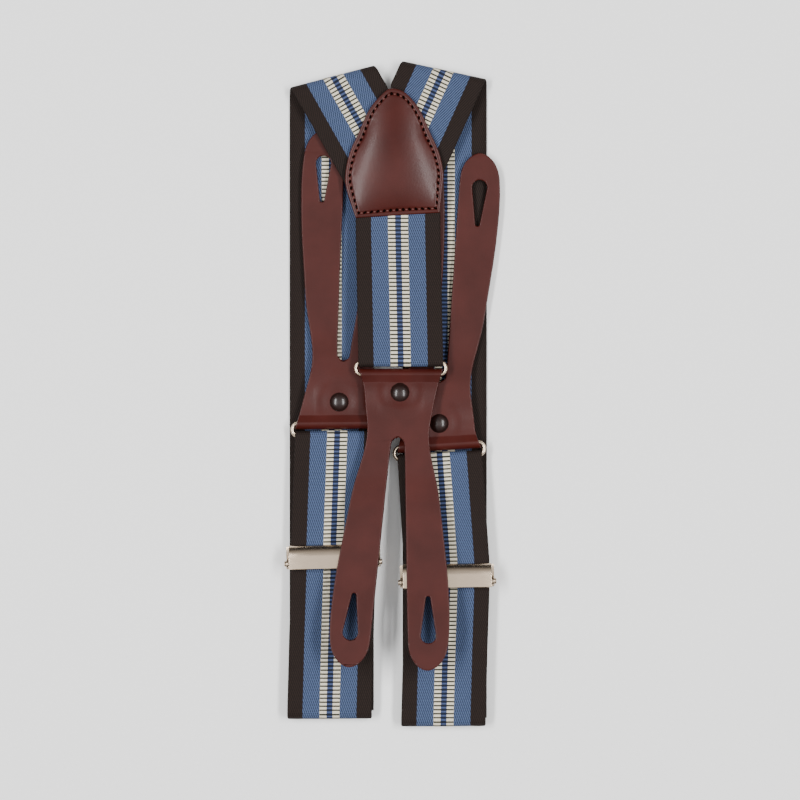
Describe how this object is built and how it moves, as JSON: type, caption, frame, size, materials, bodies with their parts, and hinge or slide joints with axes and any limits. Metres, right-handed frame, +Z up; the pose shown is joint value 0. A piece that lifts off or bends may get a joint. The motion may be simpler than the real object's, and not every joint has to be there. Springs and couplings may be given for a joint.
{
  "type": "suspenders",
  "caption": "Y-back button-on suspenders of striped elastic webbing with leather yoke, forked leather ends, wire rings and lever adjusters, folded flat.",
  "frame": {"origin": "on the surface that the folded set lies on, under the middle of its plan", "axes": "+Z up out of that surface, towards the viewer of the display side; +Y towards the shoulder folds; +X to the right of that view"},
  "size_m": [0.0893, 0.2762, 0.0206],
  "materials": {
    "webbing": "striped woven elastic",
    "leather": "oxblood, glossy",
    "lining": "matt split leather",
    "thread": "waxed thread",
    "satin_nickel": "satin nickel plate",
    "rivet_lacquer": "dark brown gloss"
  },
  "bodies": {
    "webbing": {"left_back_run": "webbing", "left_top_fold": "webbing", "left_bottom_fold": "webbing", "left_front_run": "webbing", "right_back_run": "webbing", "right_top_fold": "webbing", "right_bottom_fold": "webbing", "right_front_run": "webbing"},
    "flap": {"left_shoulder_run": "webbing", "right_shoulder_run": "webbing", "back_strap": "webbing", "yoke_patch": "leather", "yoke_lining": "lining", "yoke_stitching": "thread"},
    "rear_ring_body": {"rear_ring": "satin_nickel"},
    "rear_end": {"rear_leather_end": "leather", "rear_rivet_cap": "rivet_lacquer", "rear_rivet_stud": "rivet_lacquer"},
    "left_carriage": {"left_ring_loop": "webbing", "left_ring": "satin_nickel"},
    "left_end": {"left_leather_end": "leather", "left_rivet_cap": "rivet_lacquer", "left_rivet_stud": "rivet_lacquer"},
    "left_adjuster": {"left_adjuster_frame": "satin_nickel", "left_adjuster_left_pin": "satin_nickel", "left_adjuster_right_pin": "satin_nickel", "left_tail": "webbing"},
    "left_lever_body": {"left_lever": "satin_nickel"},
    "right_carriage": {"right_ring_loop": "webbing", "right_ring": "satin_nickel"},
    "right_end": {"right_leather_end": "leather", "right_rivet_cap": "rivet_lacquer", "right_rivet_stud": "rivet_lacquer"},
    "right_adjuster": {"right_adjuster_frame": "satin_nickel", "right_adjuster_left_pin": "satin_nickel", "right_adjuster_right_pin": "satin_nickel", "right_tail": "webbing"},
    "right_lever_body": {"right_lever": "satin_nickel"}
  },
  "joints": [
    {"name": "flap_fold", "type": "hinge", "parent": "webbing", "child": "flap", "pos_m": [0, 0.1362, 0.00325], "axis": [-1, 0, 0], "range_deg": [0, 110], "deforming": ["left_top_fold", "right_top_fold"]},
    {"name": "rear_ring_pivot", "type": "hinge", "parent": "flap", "child": "rear_ring_body", "pos_m": [0.0042, 0.0141, 0.0087], "axis": [-1, 0, 0], "range_deg": [0, 45]},
    {"name": "rear_end_pivot", "type": "hinge", "parent": "rear_ring_body", "child": "rear_end", "pos_m": [0.0042, 0.0087, 0.0087], "axis": [-1, 0, 0], "range_deg": [0, 90]},
    {"name": "left_adjuster_slide", "type": "slide", "parent": "webbing", "child": "left_adjuster", "axis": [0.0249, 0.9997, 0], "range_m": [-0.03, 0.004], "deforming": ["left_tail"]},
    {"name": "left_ring_slide", "type": "slide", "parent": "webbing", "child": "left_carriage", "axis": [0.0305, 0.9995, 0], "range_m": [-0.015, 0.002], "deforming": ["left_front_run"]},
    {"name": "left_end_pivot", "type": "hinge", "parent": "left_carriage", "child": "left_end", "pos_m": [-0.02212, -0.0112, 0.00455], "axis": [1, 0.0087, 0], "range_deg": [0, 19]},
    {"name": "left_lever_pivot", "type": "hinge", "parent": "left_adjuster", "child": "left_lever_body", "pos_m": [-0.02363, -0.06892, 0.0082], "axis": [0.9997, 0.0262, 0], "range_deg": [0, 30]},
    {"name": "right_adjuster_slide", "type": "slide", "parent": "webbing", "child": "right_adjuster", "axis": [0.0252, 0.9997, 0], "range_m": [-0.03, 0.004], "deforming": ["right_tail"]},
    {"name": "right_ring_slide", "type": "slide", "parent": "webbing", "child": "right_carriage", "axis": [-0.062, 0.9981, 0], "range_m": [-0.015, 0.002], "deforming": ["right_front_run"]},
    {"name": "right_end_pivot", "type": "hinge", "parent": "right_carriage", "child": "right_end", "pos_m": [0.02004, -0.02011, 0.00455], "axis": [0.9981, 0.061, 0], "range_deg": [0, 19]},
    {"name": "right_lever_pivot", "type": "hinge", "parent": "right_adjuster", "child": "right_lever_body", "pos_m": [0.02344, -0.07683, 0.0082], "axis": [0.9998, 0.0175, 0], "range_deg": [0, 30]}
  ],
  "couplings": [
    {"joint": "left_ring_slide", "follows": "left_adjuster_slide", "ratio": 0.5},
    {"joint": "left_end_pivot", "follows": "flap_fold", "ratio": 0.17},
    {"joint": "right_ring_slide", "follows": "right_adjuster_slide", "ratio": 0.5},
    {"joint": "right_end_pivot", "follows": "flap_fold", "ratio": 0.17}
  ]
}
